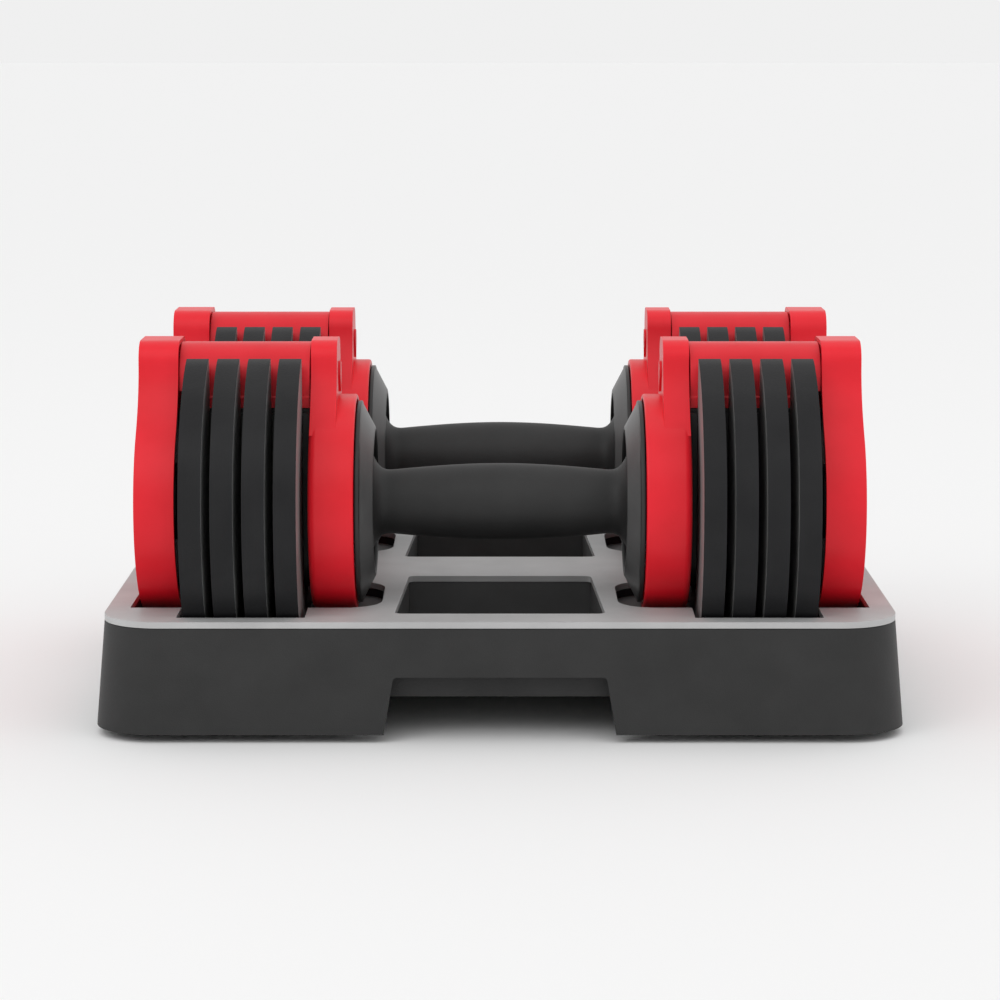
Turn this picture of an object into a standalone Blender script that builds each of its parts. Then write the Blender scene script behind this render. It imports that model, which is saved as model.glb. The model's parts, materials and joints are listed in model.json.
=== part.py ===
"""A pair of twist-select adjustable dumbbells, docked in one shared two-bay tray.

Metres, +Z up. X runs along the shafts, the front dumbbell is at -Y, and the
origin is on the floor under the middle of the tray. Heights called *_Z from
the tray section are above the floor. Pieces of a dumbbell are modelled around
its own shaft axis, for the end at +X, and mirrored for the end at -X.
"""

import math

import bmesh
import bpy
from mathutils import Matrix, Vector

# Layout
AXIS_Z = 0.103
ROW_Y = 0.0805
ROWS = (("front", -1), ("rear", 1))
SIDES = (("left", -1), ("right", 1))
GAP = 0.0003
MERGE = 0.00001
FLAT = math.radians(0.2)

# Facets round a circle
ROUND = 20
FINE_ROUND = 24
BORE_ROUND = 12
HOLE_ROUND = 6

# Facets of an arc
CORNER_STEPS = 4
REAR_CORNER_STEPS = 6
SHOULDER_STEPS = 3
KNOB_STEPS = 2
HEAD_STEPS = 15
SLOT_STEPS = 8
LOBE_STEP = math.radians(15.0)

# Edges
BEVEL_ANGLE = math.radians(50.0)
SMOOTH_ANGLE = math.radians(35.0)

# Tray
TRAY_BOTTOM_Z = 0.004
DECK_BOTTOM_Z = 0.054
DECK_TOP_Z = 0.057
DECK_HALF_X = 0.188
DECK_HALF_Y = 0.154
FRONT_CORNER_R = 0.028
REAR_CORNER_R = 0.064
SKIRT_FLARE = 0.004
SKIRT_WALL = 0.003
FLOOR_WALL = 0.0025
POCKET_X = (0.092, 0.1525)
POCKET_HALF_Y = 0.062
DIVIDER_TOP_Z = 0.047
SADDLE_X = (0.057, 0.0925)
SADDLE_HALF_Y = 0.036
SADDLE_CORNER_R = 0.018
SADDLE_Z = 0.0501
OUTER_BAY_X = (0.152, 0.177)
OUTER_BAY_Z = 0.0496
END_RECESS_X = 0.1665
END_RECESS_Z = 0.040
WELL_FRONT_HALF_X = 0.050
WELL_REAR_HALF_X = 0.046
WELL_HALF_Y = 0.0515
WELL_Z = 0.020
NOTCH_BOTTOM_HALF_X = 0.0545
NOTCH_TOP_HALF_X = 0.050
NOTCH_TOP_Z = 0.031
NOTCH_PANEL_Z = 0.020
NOTCH_PANEL_Y = (-0.146, -0.143)
FOOT_X = 0.128
FOOT_Y = 0.118
FOOT_BOTTOM_R = 0.0135
FOOT_TOP_R = 0.0085
FOOT_HEIGHT = 0.006
BOSS_R = 0.009

# Shaft
SHAFT_R = 0.0065
SHAFT_SHOULDER_X = 0.1565
SHAFT_TIP_R = 0.003
SHAFT_TIP_X = 0.159
SHAFT_END_X = 0.1705
SHAFT_CLEARANCE = 0.0004

# Handle
GRIP_END_X = 0.066
GRIP_FLANGE_R = 0.033
GRIP_MIDDLE_R = 0.0187
GRIP_WAIST_R = 0.0156
GRIP_TRUMPET = 0.012
GRIP_STATIONS = (1.0, 0.96, 0.90, 0.81, 0.55, 0.28, 0.0)
BARREL_MIDDLE_R = 0.015
BARREL_END_R = 0.0136
CORE_FLANGE_X = (0.0665, 0.0695)
CORE_FLANGE_R = 0.0314
COLLAR_R = 0.01975
COLLAR_END_X = 0.090
COLLAR_CHAMFER = 0.0015
COLLAR_SOCKET_X = 0.0702
COLLAR_NOTCH = 0.006
COLLAR_NOTCHES = 4

# Guard and dish
GUARD_X = (0.0693, 0.091)
GUARD_R = 0.0525
GUARD_WALL = 0.003
LUG_X = (0.078, 0.091)
LUG_HALF_Y = 0.017
LUG_CORNER_R = 0.009
HEAD_TOP = 0.080
DISH_X = (0.0605, 0.069)
DISH_R = 0.0493
DISH_HOLE_R = 0.0345
DISH_WALL = 0.0022

# Lock latch
LATCH_X = (0.072, 0.076)
LATCH_ARM_X = 0.084
LATCH_HALF_Y = 0.005
LATCH_TOP = -0.0245
LATCH_ARM = (-0.034, -0.030)

# Weight plates
PLATES = 4
PLATE_R = 0.076
PLATE_THICK = 0.0106
PLATE_PITCH = 0.01475
PLATE_GROOVE_EXTRA = 0.0011
CRADLE_R = 0.0772
SLOT_HALF = 0.021
SLOT_BOTTOM = -0.045
TAB_Y = 0.012
TAB = (0.0105, 0.0165)

# Comb
COMB_X = (0.091, 0.154)
COMB_HALF_Y = 0.019
COMB_TOP = 0.048
COMB_RAIL_BOTTOM = 0.020
COMB_INNER_Y = 0.0163
COMB_PANEL_BOTTOM = -0.030
RIB_HALF_Y = 0.0225
RIB_TOP = 0.046
RIB_BOTTOM = -0.040
RIB_CORNER_R = 0.014
RIB_THICK = 0.0034
RIB_BORE_R = 0.0166
FIRST_RIB_X = 0.0927
WINDOW_HALF = 0.0115
HUB_X = 0.079
HUB_R = (0.0203, 0.0235)

# Selector drum
DRUM_X = (0.0705, 0.159)
DRUM_R = 0.0115
DRUM_BORE_R = 0.0075
DRUM_FLANGE_X = 0.1563
DRUM_FLANGE_R = 0.0185
LOBE_R = 0.0155
LOBE_WIDTH = 0.007
SETTING_STEP = math.radians(25.0)
LOBE_END = math.radians(60.0)
LAST_LOBE_START = math.radians(29.0)

# Top cover
COVER_X = (0.0913, 0.1537)
COVER_HALF_Y = 0.0195
COVER_BOTTOM = 0.0483
COVER_TOP = 0.0783
COVER_WALL = 0.0025
COVER_SHOULDER = 0.060
COVER_STEP = (0.006, 0.008)

# Outer cap
CAP_X = (0.154, 0.1735)
CAP_R = 0.053
CAP_WALL = 0.0022
CAP_HALF_Y = 0.020
CAP_CORNER_R = 0.010
ARM_X = (0.128, 0.141)
ARM_Z = (0.062, 0.072)
ARM_TIP_Z = (0.0645, 0.0700)
ARM_HALF_Y = 0.006

# End disc
DISC_X = (0.1593, 0.1673)
DISC_R = 0.050
DISC_BORE_R = 0.0036
DISC_HOLE_R = 0.003
DISC_HOLE_Z = 0.030
DISC_NOTCH_HALF = 0.004
DISC_NOTCH_DEPTH = 0.004

# Colours
DECK_GREY = (0.36, 0.36, 0.36)
SKIRT_CHARCOAL = (0.045, 0.045, 0.045)
FOOT_BLACK = (0.012, 0.012, 0.012)
RED = (0.72, 0.032, 0.045)
BLACK = (0.028, 0.028, 0.028)
RUBBER_BLACK = (0.035, 0.035, 0.035)
RING_GREY = (0.1, 0.1, 0.1)
IRON = (0.055, 0.055, 0.057)
STEEL = (0.04, 0.04, 0.042)

# Local X, Y, Z of a flat outline to world axes
FACING_X = Matrix(((0, 0, 1, 0), (1, 0, 0, 0), (0, 1, 0, 0), (0, 0, 0, 1)))
FACING_Y = Matrix(((1, 0, 0, 0), (0, 0, -1, 0), (0, 1, 0, 0), (0, 0, 0, 1)))
FACING_Z = Matrix.Identity(4)


# Scene helpers

def clear_scene():
    for obj in list(bpy.data.objects):
        bpy.data.objects.remove(obj, do_unlink=True)


def new_collection(name):
    collection = bpy.data.collections.new(name)
    bpy.context.scene.collection.children.link(collection)
    return collection


def new_material(name, color, roughness, metallic=0.0):
    material = bpy.data.materials.new(name)
    material.use_nodes = True
    shader = material.node_tree.nodes["Principled BSDF"]
    shader.inputs["Base Color"].default_value = (*color, 1.0)
    shader.inputs["Roughness"].default_value = roughness
    shader.inputs["Metallic"].default_value = metallic
    material.diffuse_color = (*color, 1.0)
    return material


def temporary(data):
    obj = bpy.data.objects.new("temporary", data)
    bpy.context.scene.collection.objects.link(obj)
    return obj


def baked(obj, matrix=FACING_Z):
    """Mesh of the object as evaluated, welded and moved by matrix. The object is used up."""
    bpy.context.view_layer.update()
    graph = bpy.context.evaluated_depsgraph_get()
    mesh = bpy.data.meshes.new_from_object(obj.evaluated_get(graph), depsgraph=graph)
    mesh.transform(matrix @ obj.matrix_world)
    shape = bmesh.new()
    shape.from_mesh(mesh)
    bmesh.ops.remove_doubles(shape, verts=shape.verts, dist=MERGE)
    bmesh.ops.dissolve_limit(shape, angle_limit=FLAT, verts=shape.verts, edges=shape.edges)
    shape.to_mesh(mesh)
    shape.free()
    bpy.data.objects.remove(obj, do_unlink=True)
    return mesh


def boolean(base, tool, operation):
    """Mesh of base cut by, or joined to, the closed mesh tool."""
    body = temporary(base)
    cutter = temporary(tool)
    cutter.hide_render = True
    cutter.display_type = "WIRE"
    modifier = body.modifiers.new("cut", "BOOLEAN")
    modifier.operation = operation
    modifier.solver = "EXACT"
    modifier.object = cutter
    result = baked(body)
    bpy.data.objects.remove(cutter, do_unlink=True)
    return result


def cut(base, tool):
    return boolean(base, tool, "DIFFERENCE")


def unite(base, tool):
    return boolean(base, tool, "UNION")


def side_by_side(meshes):
    """One mesh of several that don't touch."""
    shape = bmesh.new()
    for mesh in meshes:
        shape.from_mesh(mesh)
    result = bpy.data.meshes.new("group")
    shape.to_mesh(result)
    shape.free()
    return result


def moved(mesh, offset):
    copy = mesh.copy()
    copy.transform(Matrix.Translation(Vector(offset)))
    return copy


def mirrored(mesh):
    """The same shape with left and right swapped."""
    copy = mesh.copy()
    copy.transform(Matrix.Scale(-1.0, 4, (1.0, 0.0, 0.0)))
    copy.flip_normals()
    return copy


# Outline and shape helpers

def arc(center, radius, start, end, steps):
    """Points of an arc, angles in degrees, both ends included."""
    points = []
    for step in range(steps + 1):
        angle = math.radians(start + (end - start) * step / steps)
        points.append((center[0] + radius * math.cos(angle), center[1] + radius * math.sin(angle)))
    return points


def circle(center, radius, steps):
    return arc(center, radius, 0.0, 360.0, steps)[:-1]


def turned(profile, segments=ROUND, closed=True):
    """Solid turned about X from (x, radius) points.

    A closed loop runs along the outside towards -X and back along the inside.
    An open line starts and ends on the axis.
    """
    mesh = bpy.data.meshes.new("profile")
    vertices = [(radius, 0.0, x) for x, radius in profile]
    edges = [(i, i + 1) for i in range(len(profile) - 1)]
    if closed:
        edges.append((len(profile) - 1, 0))
    mesh.from_pydata(vertices, edges, [])
    obj = temporary(mesh)
    screw = obj.modifiers.new("turn", "SCREW")
    screw.axis = "Z"
    screw.steps = segments
    screw.render_steps = segments
    screw.use_merge_vertices = True
    screw.merge_threshold = MERGE
    return baked(obj, Matrix.Rotation(math.radians(90.0), 4, "Y"))


def extruded(outlines, start, end, facing):
    """Flat solid between two planes; any outline after the first is a hole."""
    curve = bpy.data.curves.new("outline", "CURVE")
    curve.dimensions = "2D"
    curve.fill_mode = "BOTH"
    curve.extrude = abs(end - start) / 2.0
    for outline in outlines:
        spline = curve.splines.new("POLY")
        spline.points.add(len(outline) - 1)
        for point, (u, v) in zip(spline.points, outline):
            point.co = (u, v, 0.0, 1.0)
        spline.use_cyclic_u = True
    obj = temporary(curve)
    obj.location.z = (start + end) / 2.0
    return baked(obj, facing)


def block(x, y, z):
    """Box between (low, high) pairs."""
    shape = bmesh.new()
    bmesh.ops.create_cube(shape, size=1.0)
    size = Vector((x[1] - x[0], y[1] - y[0], z[1] - z[0]))
    middle = Vector((x[0] + x[1], y[0] + y[1], z[0] + z[1])) / 2.0
    bmesh.ops.scale(shape, vec=size, verts=shape.verts)
    bmesh.ops.translate(shape, vec=middle, verts=shape.verts)
    mesh = bpy.data.meshes.new("block")
    shape.to_mesh(mesh)
    shape.free()
    return mesh


def cone(bottom_r, top_r, z, segments=ROUND):
    """Upright round solid between two heights."""
    shape = bmesh.new()
    bmesh.ops.create_cone(shape, cap_ends=True, segments=segments, radius1=bottom_r, radius2=top_r,
                          depth=z[1] - z[0])
    bmesh.ops.translate(shape, vec=(0.0, 0.0, (z[0] + z[1]) / 2.0), verts=shape.verts)
    mesh = bpy.data.meshes.new("cone")
    shape.to_mesh(mesh)
    shape.free()
    return mesh


def softened(mesh, width, segments=1):
    obj = temporary(mesh)
    bevel = obj.modifiers.new("soften", "BEVEL")
    bevel.width = width
    bevel.segments = segments
    bevel.limit_method = "ANGLE"
    bevel.angle_limit = BEVEL_ANGLE
    return baked(obj)


def keyhole(radius, half_neck, top, corner, from_chord=False):
    """Outline of a round head that narrows into a neck with rounded shoulders.

    With from_chord, only the neck above the head's 45 degree points.
    """
    side = radius * math.sqrt(0.5)
    start = Vector((side, side))
    bend = Vector((half_neck, 2.0 * side - half_neck))
    end = Vector((half_neck, top - corner))
    right = []
    for step in range(1, SHOULDER_STEPS + 1):
        t = step / SHOULDER_STEPS
        right.append(start * (1.0 - t) ** 2 + bend * 2.0 * t * (1.0 - t) + end * t ** 2)
    right = [(point.x, point.y) for point in right]
    right += arc((half_neck - corner, top - corner), corner, 0.0, 90.0, KNOB_STEPS)[1:]
    left = [(-u, v) for u, v in reversed(right)]
    if from_chord:
        return [(side, side)] + right + left + [(-side, side)]
    return arc((0.0, 0.0), radius, -225.0, 45.0, HEAD_STEPS) + right + left


def plate_centers():
    first = FIRST_RIB_X + PLATE_PITCH / 2.0
    return [first + PLATE_PITCH * index for index in range(PLATES)]


def four_bays(mesh):
    """Copies of a right-hand bay shape for both ends of both rows."""
    bays = []
    for _, row in ROWS:
        right = moved(mesh, (0.0, row * ROW_Y, 0.0))
        bays += [right, mirrored(right)]
    return side_by_side(bays)


def two_rows(mesh):
    return side_by_side([moved(mesh, (0.0, row * ROW_Y, 0.0)) for _, row in ROWS])


# Tray

def tray_outline(inset):
    """Rounded outline with small front corners and large rear ones."""
    half_x = DECK_HALF_X - inset
    half_y = DECK_HALF_Y - inset
    front = FRONT_CORNER_R - inset
    rear = REAR_CORNER_R - inset
    points = arc((half_x - front, front - half_y), front, -90.0, 0.0, CORNER_STEPS)
    points += arc((half_x - rear, half_y - rear), rear, 0.0, 90.0, REAR_CORNER_STEPS)
    points += arc((rear - half_x, half_y - rear), rear, 90.0, 180.0, REAR_CORNER_STEPS)
    points += arc((front - half_x, front - half_y), front, 180.0, 270.0, CORNER_STEPS)
    return points


def flared(inset, bottom, top):
    """Tray solid whose foot is wider than its top by the skirt's flare."""
    mesh = extruded([tray_outline(inset)], bottom, top, FACING_Z)
    middle = (bottom + top) / 2.0
    for vertex in mesh.vertices:
        if vertex.co.z < middle:
            vertex.co.x *= 1.0 + SKIRT_FLARE / DECK_HALF_X
            vertex.co.y *= 1.0 + SKIRT_FLARE / DECK_HALF_Y
    return mesh


def saddle_outline(margin):
    """Narrow bay under a guard, with its inboard corners rounded."""
    radius = SADDLE_CORNER_R + margin
    inner = SADDLE_X[0] - margin
    half_y = SADDLE_HALF_Y + margin
    points = [(SADDLE_X[1], -half_y), (SADDLE_X[1], half_y)]
    points += arc((inner + radius, half_y - radius), radius, 90.0, 180.0, CORNER_STEPS)
    points += arc((inner + radius, radius - half_y), radius, 180.0, 270.0, CORNER_STEPS)
    return points


def well_outline(margin):
    front = WELL_FRONT_HALF_X + margin
    rear = WELL_REAR_HALF_X + margin
    half_y = WELL_HALF_Y + margin
    return [(-front, -half_y), (front, -half_y), (rear, half_y), (-rear, half_y)]


def bay_cutters(margin, top):
    """Solids of the bays and wells, each grown by a margin on its sides and floor."""
    across = (-POCKET_HALF_Y - margin, POCKET_HALF_Y + margin)
    floor = DIVIDER_TOP_Z if margin == 0.0 else AXIS_Z - CRADLE_R - margin
    pocket = block((POCKET_X[0] - margin, POCKET_X[1] + margin), across, (floor, top))
    saddle = extruded([saddle_outline(margin)], SADDLE_Z - margin, top, FACING_Z)
    narrow = (-SADDLE_HALF_Y - margin, SADDLE_HALF_Y + margin)
    outer = block((OUTER_BAY_X[0], OUTER_BAY_X[1] + margin), narrow, (OUTER_BAY_Z - margin, top))
    recess = block((END_RECESS_X - margin, OUTER_BAY_X[1] + margin), narrow, (END_RECESS_Z - margin, top))
    well = extruded([well_outline(margin)], WELL_Z - margin, top, FACING_Z)
    return [four_bays(pocket), four_bays(saddle), four_bays(outer), four_bays(recess), two_rows(well)]


def plate_cradles():
    """Round grooves that hold the plates on edge, with dividers left between them."""
    half = (PLATE_THICK + PLATE_GROOVE_EXTRA) / 2.0
    grooves = []
    for x in plate_centers():
        outline = circle((0.0, AXIS_Z), CRADLE_R, FINE_ROUND)
        grooves.append(extruded([outline], x - half, x + half, FACING_X))
    return four_bays(side_by_side(grooves))


def notch_outline():
    low = TRAY_BOTTOM_Z - GAP
    return [(-NOTCH_BOTTOM_HALF_X, low), (NOTCH_BOTTOM_HALF_X, low),
            (NOTCH_TOP_HALF_X, NOTCH_TOP_Z), (-NOTCH_TOP_HALF_X, NOTCH_TOP_Z)]


def tray_hollow():
    """Space under the tray: everything inside the skirt but the bays, bosses and notch panel."""
    ceiling = DECK_BOTTOM_Z - GAP - SKIRT_WALL
    hollow = flared(SKIRT_WALL, TRAY_BOTTOM_Z - GAP, ceiling)
    for housing in bay_cutters(FLOOR_WALL, DECK_TOP_Z):
        hollow = cut(hollow, housing)
    boss = cone(BOSS_R, BOSS_R, (FOOT_HEIGHT + GAP, DIVIDER_TOP_Z), BORE_ROUND)
    for x in (-FOOT_X, FOOT_X):
        for y in (-FOOT_Y, FOOT_Y):
            hollow = cut(hollow, moved(boss, (x, y, 0.0)))
    panel = block((-NOTCH_BOTTOM_HALF_X, NOTCH_BOTTOM_HALF_X), NOTCH_PANEL_Y, (NOTCH_PANEL_Z, DECK_TOP_Z))
    return cut(hollow, panel)


def skirt_mesh():
    skirt = flared(0.0, TRAY_BOTTOM_Z, DECK_BOTTOM_Z - GAP)
    skirt = cut(skirt, tray_hollow())
    for bay in bay_cutters(0.0, DECK_TOP_Z):
        skirt = cut(skirt, bay)
    skirt = cut(skirt, plate_cradles())
    front = DECK_HALF_Y + 2.0 * SKIRT_FLARE
    return cut(skirt, extruded([notch_outline()], -NOTCH_PANEL_Y[0], front, FACING_Y))


def deck_mesh():
    deck = extruded([tray_outline(0.0)], DECK_BOTTOM_Z, DECK_TOP_Z, FACING_Z)
    for bay in bay_cutters(0.0, DECK_TOP_Z + GAP):
        deck = cut(deck, bay)
    return deck


# Dumbbell pieces, around the shaft axis

def both_ways(profile):
    """Closed profile of a ring that is symmetric about x = 0, from its half at +X."""
    outside, inside = profile
    back = [(-x, radius) for x, radius in reversed(outside) if x > 0.0]
    forth = [(-x, radius) for x, radius in reversed(inside) if x > 0.0]
    return outside + back + forth + inside


def shaft_mesh():
    half = [(SHAFT_END_X, 0.0), (SHAFT_END_X, SHAFT_TIP_R), (SHAFT_TIP_X, SHAFT_TIP_R),
            (SHAFT_SHOULDER_X, SHAFT_R)]
    return turned(half + [(-x, radius) for x, radius in reversed(half)], BORE_ROUND, closed=False)


def core_mesh():
    bore = SHAFT_R + SHAFT_CLEARANCE
    socket = DRUM_R + SHAFT_CLEARANCE
    outside = [(COLLAR_END_X, COLLAR_R - COLLAR_CHAMFER), (COLLAR_END_X - COLLAR_CHAMFER, COLLAR_R),
               (CORE_FLANGE_X[1], COLLAR_R), (CORE_FLANGE_X[1], CORE_FLANGE_R),
               (CORE_FLANGE_X[0], CORE_FLANGE_R), (CORE_FLANGE_X[0], BARREL_END_R),
               (0.0, BARREL_MIDDLE_R)]
    inside = [(COLLAR_SOCKET_X, bore), (COLLAR_SOCKET_X, socket), (COLLAR_END_X, socket)]
    core = turned(both_ways((outside, inside)))
    half = COLLAR_NOTCH / 2.0
    notch = block((COLLAR_END_X - COLLAR_NOTCH, COLLAR_END_X + GAP), (-half, half),
                  (BARREL_MIDDLE_R, COLLAR_R + GAP))
    notches = []
    for index in range(COLLAR_NOTCHES):
        turn = Matrix.Rotation(2.0 * math.pi * index / COLLAR_NOTCHES, 4, "X")
        right = notch.copy()
        right.transform(turn)
        notches += [right, mirrored(right)]
    return cut(core, side_by_side(notches))


def grip_radius(x):
    """Barrel-shaped middle that runs out into a trumpet flange."""
    waist_x = GRIP_END_X - GRIP_TRUMPET
    swell = (GRIP_MIDDLE_R - GRIP_WAIST_R) * math.cos(math.pi * min(x / waist_x, 1.0) / 2.0)
    flare = max(x - waist_x, 0.0) / GRIP_TRUMPET
    return GRIP_WAIST_R + swell + (GRIP_FLANGE_R - GRIP_WAIST_R) * flare ** 3


def grip_mesh():
    outside = [(GRIP_END_X * share, grip_radius(GRIP_END_X * share)) for share in GRIP_STATIONS]
    inside = [(0.0, BARREL_MIDDLE_R + GAP), (GRIP_END_X, BARREL_END_R + GAP)]
    return turned(both_ways((outside, inside)))


def guard_mesh():
    start, end = GUARD_X
    hub_hole = HUB_R[1] + 2.0 * GAP
    cup = turned([(end, GUARD_R), (start, GUARD_R), (start, GUARD_R - GUARD_WALL),
                  (end - GUARD_WALL, GUARD_R - GUARD_WALL), (end - GUARD_WALL, hub_hole),
                  (end, hub_hole)], FINE_ROUND)
    neck = keyhole(GUARD_R, LUG_HALF_Y, HEAD_TOP, LUG_CORNER_R, from_chord=True)
    lug = softened(extruded([neck], LUG_X[0], LUG_X[1] - GAP, FACING_X), GUARD_WALL)
    guard = unite(cup, lug)
    margin = 2.0 * GAP
    opening = block((LATCH_X[0] - margin, LATCH_X[1] + margin),
                    (-LATCH_HALF_Y - margin, LATCH_HALF_Y + margin),
                    (-GUARD_R - GUARD_WALL, -GUARD_R + 2.0 * GUARD_WALL))
    return cut(guard, opening)


def dish_mesh():
    start, end = DISH_X
    return turned([(end, DISH_R), (end - DISH_WALL, DISH_R), (start, DISH_HOLE_R + DISH_WALL / 2.0),
                   (start, DISH_HOLE_R), (start + DISH_WALL, DISH_HOLE_R), (end, DISH_R - DISH_WALL)],
                  FINE_ROUND)


def latch_mesh():
    low, high = LATCH_X
    outline = [(low, -GUARD_R), (high, -GUARD_R), (high, LATCH_ARM[0]), (LATCH_ARM_X, LATCH_ARM[0]),
               (LATCH_ARM_X, LATCH_ARM[1]), (high, LATCH_ARM[1]), (high, LATCH_TOP), (low, LATCH_TOP)]
    return extruded([outline], -LATCH_HALF_Y, LATCH_HALF_Y, FACING_Y)


def plate_outline():
    """Disc with a deep slot open at the top, and a lifting tab on the slot's +Y wall."""
    mouth = math.degrees(math.acos(SLOT_HALF / PLATE_R))
    bottom = SLOT_BOTTOM + SLOT_HALF
    points = arc((0.0, 0.0), PLATE_R, mouth, mouth - 360.0 + 2.0 * (90.0 - mouth), FINE_ROUND)
    points += arc((0.0, bottom), SLOT_HALF, 180.0, 360.0, SLOT_STEPS)
    points += [(SLOT_HALF, TAB[0]), (TAB_Y, TAB[0]), (TAB_Y, TAB[1]), (SLOT_HALF, TAB[1])]
    return points


def plate_mesh(x):
    half = PLATE_THICK / 2.0
    return extruded([plate_outline()], x - half, x + half, FACING_X)


def rib_outline():
    low = RIB_BOTTOM + RIB_CORNER_R
    side = RIB_HALF_Y - RIB_CORNER_R
    points = [(RIB_HALF_Y, RIB_TOP), (-RIB_HALF_Y, RIB_TOP)]
    points += arc((-side, low), RIB_CORNER_R, 180.0, 270.0, KNOB_STEPS)
    points += arc((side, low), RIB_CORNER_R, 270.0, 360.0, KNOB_STEPS)
    return points


def comb_profile():
    """Section of the rail and its -Y wall; +Y stays open where the plates' tabs pass."""
    return [(COMB_HALF_Y, COMB_TOP), (COMB_HALF_Y, COMB_RAIL_BOTTOM),
            (-COMB_INNER_Y, COMB_RAIL_BOTTOM), (-COMB_INNER_Y, COMB_PANEL_BOTTOM),
            (-COMB_HALF_Y, COMB_PANEL_BOTTOM), (-COMB_HALF_Y, COMB_TOP)]


def comb_mesh():
    comb = extruded([comb_profile()], COMB_X[0], COMB_X[1], FACING_X)
    for index in range(PLATES + 1):
        middle = FIRST_RIB_X + PLATE_PITCH * index
        bore = circle((0.0, 0.0), RIB_BORE_R, BORE_ROUND)
        rib = extruded([rib_outline(), bore], middle - RIB_THICK / 2.0, middle + RIB_THICK / 2.0, FACING_X)
        comb = unite(comb, rib)
    hub_end = FIRST_RIB_X
    hub = turned([(hub_end, HUB_R[1]), (HUB_X, HUB_R[1]), (HUB_X, HUB_R[0]), (hub_end, HUB_R[0])])
    comb = unite(comb, hub)
    first = FIRST_RIB_X + RIB_THICK
    last = FIRST_RIB_X + PLATE_PITCH * PLATES - RIB_THICK
    reach = 2.0 * RIB_HALF_Y
    window = block((first, last), (-reach, reach), (-WINDOW_HALF, WINDOW_HALF))
    return cut(comb, window)


def lobe_outline(start):
    inner = DRUM_R - 2.0 * GAP
    steps = round((LOBE_END - start) / LOBE_STEP)
    outside = arc((0.0, 0.0), LOBE_R, math.degrees(start), math.degrees(LOBE_END), steps)
    inside = arc((0.0, 0.0), inner, math.degrees(LOBE_END), math.degrees(start), steps)
    return outside + inside


def drum_mesh():
    """Flanged tube with one lobe for each plate, each longer than the next one out."""
    start, end = DRUM_X
    drum = turned([(end, DRUM_FLANGE_R), (DRUM_FLANGE_X, DRUM_FLANGE_R), (DRUM_FLANGE_X, DRUM_R),
                   (start, DRUM_R), (start, DRUM_BORE_R), (end, DRUM_BORE_R)])
    for index, x in enumerate(plate_centers()):
        lobe_start = LAST_LOBE_START - SETTING_STEP * (PLATES - 1 - index)
        lobe = extruded([lobe_outline(lobe_start)], x - LOBE_WIDTH / 2.0, x + LOBE_WIDTH / 2.0, FACING_X)
        drum = unite(drum, lobe)
    return drum


def arch(half_y, top):
    radius = top - COVER_SHOULDER
    return arc((half_y - radius, COVER_SHOULDER), radius, 0.0, 90.0, CORNER_STEPS) + \
        arc((radius - half_y, COVER_SHOULDER), radius, 90.0, 180.0, CORNER_STEPS)


def cover_mesh():
    outside = arch(COVER_HALF_Y, COVER_TOP)
    inside = arch(COVER_HALF_Y - COVER_WALL, COVER_TOP - COVER_WALL)
    outline = [(COVER_HALF_Y, COVER_BOTTOM)] + outside + [(-COVER_HALF_Y, COVER_BOTTOM)]
    outline += [(COVER_WALL - COVER_HALF_Y, COVER_BOTTOM)] + inside[::-1]
    outline += [(COVER_HALF_Y - COVER_WALL, COVER_BOTTOM)]
    cover = extruded([outline], COVER_X[0], COVER_X[1], FACING_X)
    length, height = COVER_STEP
    reach = 2.0 * COVER_HALF_Y
    step = block((COVER_X[1] - length, COVER_X[1] + length), (-reach, reach),
                 (COVER_BOTTOM - height, COVER_BOTTOM + height))
    return cut(cover, step)


def cap_mesh():
    start, end = CAP_X
    outline = keyhole(CAP_R, CAP_HALF_Y, HEAD_TOP, CAP_CORNER_R)
    hollow = keyhole(CAP_R - CAP_WALL, CAP_HALF_Y - CAP_WALL, HEAD_TOP - CAP_WALL, CAP_CORNER_R - CAP_WALL)
    cap = extruded([outline], start, end, FACING_X)
    cap = cut(cap, extruded([hollow], start - CAP_WALL, end - CAP_WALL, FACING_X))
    tip, step = ARM_X
    root = end - CAP_WALL / 2.0
    arm = [(root, ARM_Z[0]), (root, ARM_Z[1]), (step, ARM_Z[1]), (step, ARM_TIP_Z[1]),
           (tip, ARM_TIP_Z[1]), (tip, ARM_TIP_Z[0]), (step, ARM_TIP_Z[0]), (step, ARM_Z[0])]
    return unite(cap, extruded([arm], -ARM_HALF_Y, ARM_HALF_Y, FACING_Y))


def disc_outline():
    """Round outline with a square notch at mid-height on both edges."""
    notch = math.degrees(math.asin(DISC_NOTCH_HALF / DISC_R))
    inner = DISC_R - DISC_NOTCH_DEPTH
    half = ROUND // 2
    points = arc((0.0, 0.0), DISC_R, notch, 180.0 - notch, half)
    points += [(-inner, DISC_NOTCH_HALF), (-inner, -DISC_NOTCH_HALF)]
    points += arc((0.0, 0.0), DISC_R, 180.0 + notch, 360.0 - notch, half)
    points += [(inner, -DISC_NOTCH_HALF), (inner, DISC_NOTCH_HALF)]
    return points


def disc_mesh():
    holes = [circle((0.0, 0.0), DISC_BORE_R, HOLE_ROUND)]
    for z in (-DISC_HOLE_Z, DISC_HOLE_Z):
        holes.append(circle((0.0, z), DISC_HOLE_R, HOLE_ROUND))
    return extruded([disc_outline()] + holes, DISC_X[0], DISC_X[1], FACING_X)


# Assembly

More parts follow.
